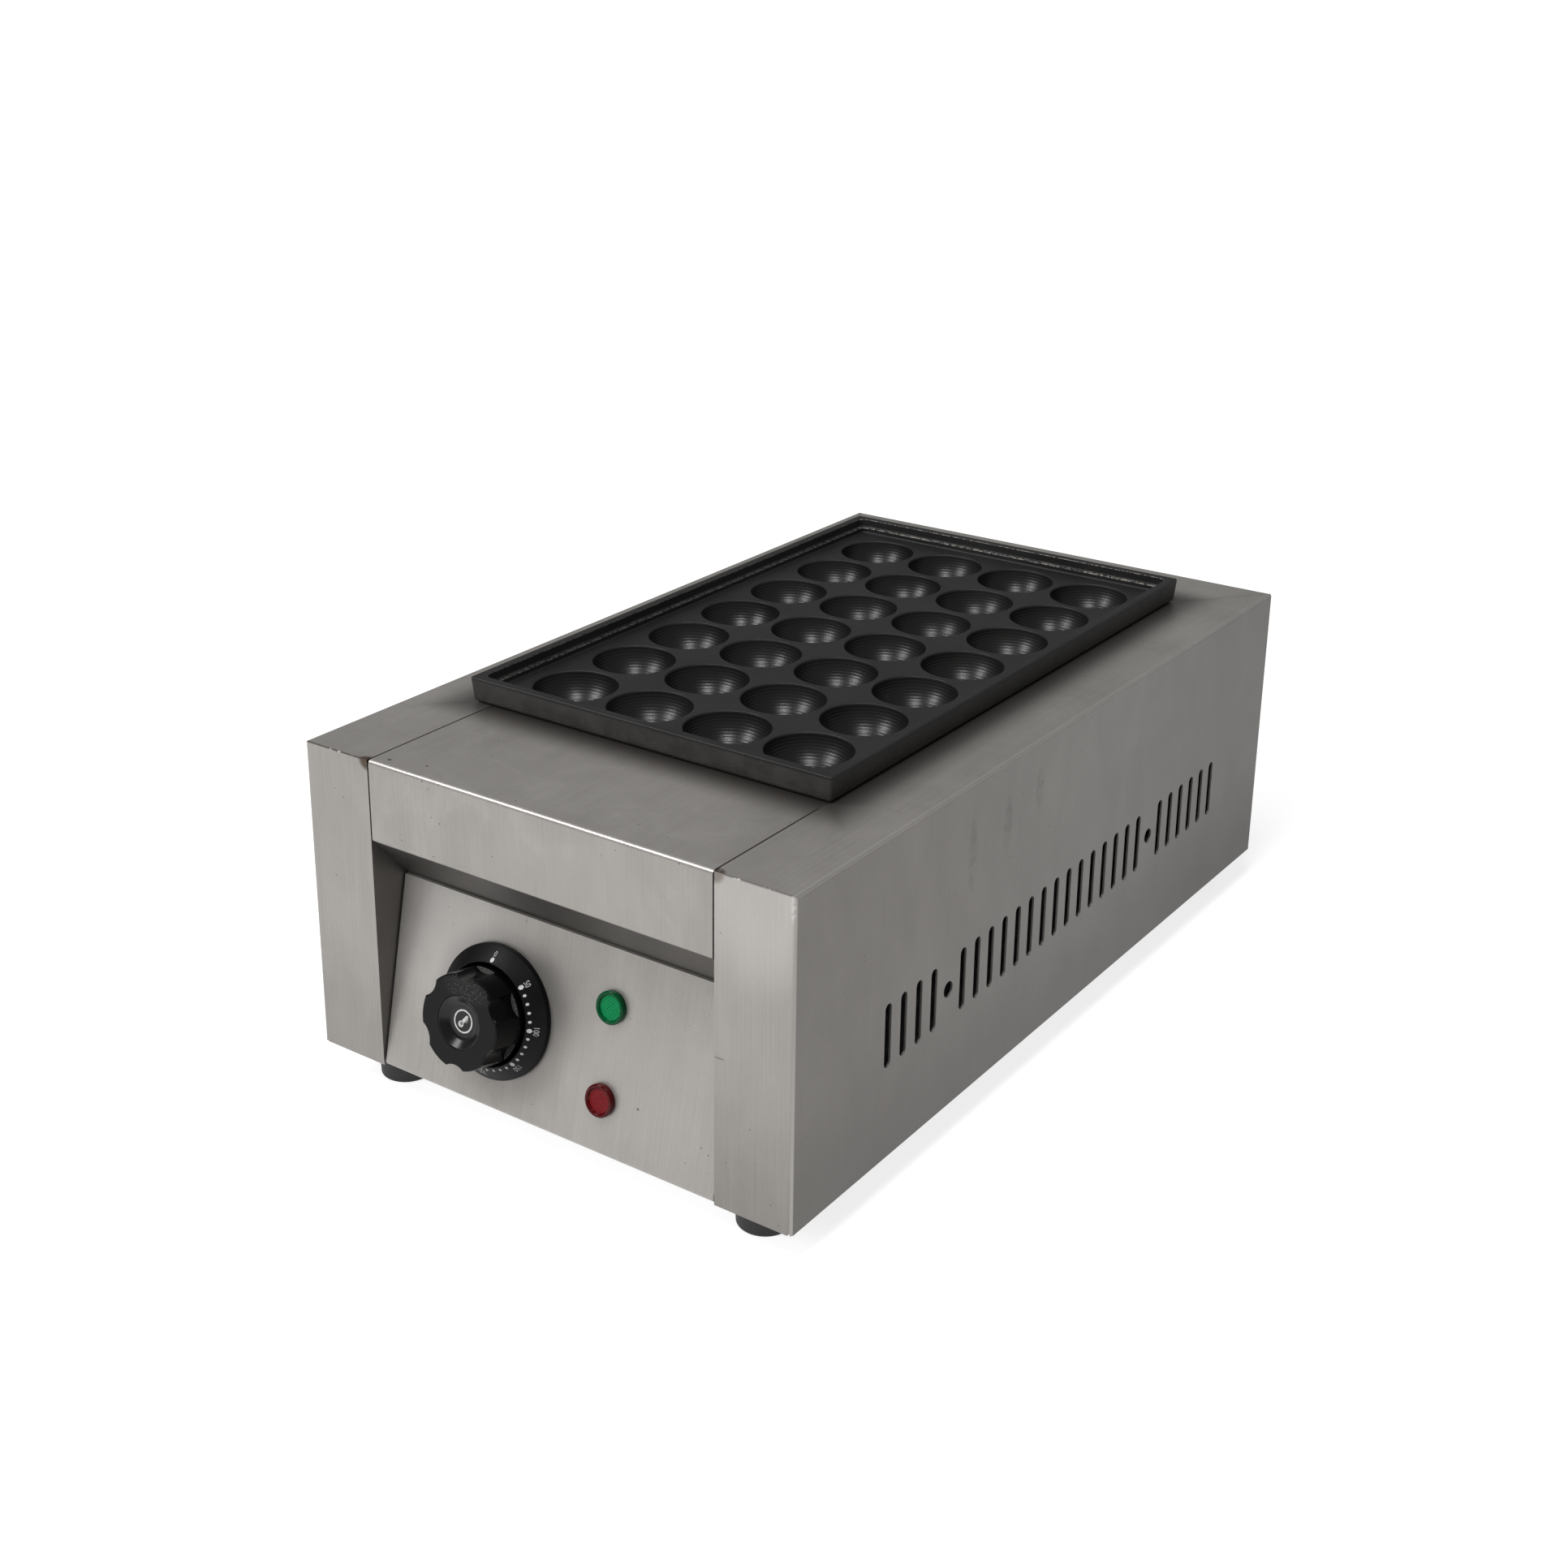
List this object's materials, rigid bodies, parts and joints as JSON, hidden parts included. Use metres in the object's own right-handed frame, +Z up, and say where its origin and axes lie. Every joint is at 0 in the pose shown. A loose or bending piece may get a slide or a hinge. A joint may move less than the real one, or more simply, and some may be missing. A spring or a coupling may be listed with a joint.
{
  "type": "takoyaki maker",
  "caption": "Countertop electric griddle: folded steel housing with a sloping control panel and a lift-off black plate of half-round cups for batter balls.",
  "frame": {"origin": "on the surface the feet stand on, under the middle of the whole object's bounding box", "axes": "+Z up; -Y towards the control panel at the front; +X to the right seen from the front; the longest extent runs along Y"},
  "size_m": [0.262, 0.4888, 0.1795],
  "materials": {
    "nonstick_plate": "black satin non-stick coating on cast aluminium",
    "brushed_sheet": "stainless sheet with a fine brushed grain",
    "galvanised_sheet": "dull zinc-coated sheet",
    "foot_rubber": "matt black rubber",
    "zinc_steel": "bright zinc-plated steel",
    "heater_sheath": "heat-darkened steel sheath",
    "brass_fitting": "turned brass",
    "copper_sensor": null,
    "ceramic_white": null,
    "black_phenolic": "moulded black phenolic",
    "black_plastic": "satin black moulded plastic",
    "green_lens": "clear green moulded lens",
    "red_lens": "clear red moulded lens"
  },
  "bodies": {
    "housing": {"right_side_panel": "brushed_sheet", "left_side_panel": "brushed_sheet", "rear_panel": "brushed_sheet", "front_cover": "brushed_sheet", "control_panel": "brushed_sheet", "base_plate": "galvanised_sheet", "rubber_feet": "foot_rubber", "foot_screws": "zinc_steel", "foot_nuts": "zinc_steel", "hem_screws": "zinc_steel", "heater_tray": "galvanised_sheet", "left_heating_tube": "heater_sheath", "right_heating_tube": "heater_sheath", "heater_fittings": "brass_fitting", "heater_nuts": "brass_fitting", "heater_insulators": "ceramic_white", "heater_pins": "zinc_steel", "heater_rests": "galvanised_sheet", "sensor_bulb": "copper_sensor", "bulb_clip": "galvanised_sheet", "capillary_tube": "copper_sensor", "thermostat_body": "black_phenolic", "thermostat_screws": "zinc_steel", "dial_ring": "black_plastic", "upper_lamp_lens": "green_lens", "lower_lamp_lens": "red_lens", "lamp_bodies": "black_phenolic", "lamp_nuts": "black_phenolic", "lamp_blades": "brass_fitting", "terminal_block": "ceramic_white", "terminal_screws": "brass_fitting", "gland_body": "black_plastic", "gland_cap": "black_plastic", "gland_locknut": "black_plastic", "bonding_bolt": "brass_fitting", "bonding_washers": "zinc_steel", "bonding_nut": "brass_fitting"},
    "plate": {"takoyaki_plate": "nonstick_plate", "plate_cups": "nonstick_plate"},
    "knob": {"control_knob": "black_plastic", "knob_cap": "black_plastic", "thermostat_shaft": "zinc_steel"}
  },
  "joints": [
    {"name": "plate_lift", "type": "slide", "parent": "housing", "child": "plate", "axis": [0, 0, 1], "range_m": [0, 0.08]},
    {"name": "knob_turn", "type": "hinge", "parent": "housing", "child": "knob", "pos_m": [-0.031, -0.21603, 0.06111], "axis": [0, 0.9782, -0.2077], "range_deg": [0, 270]}
  ]
}
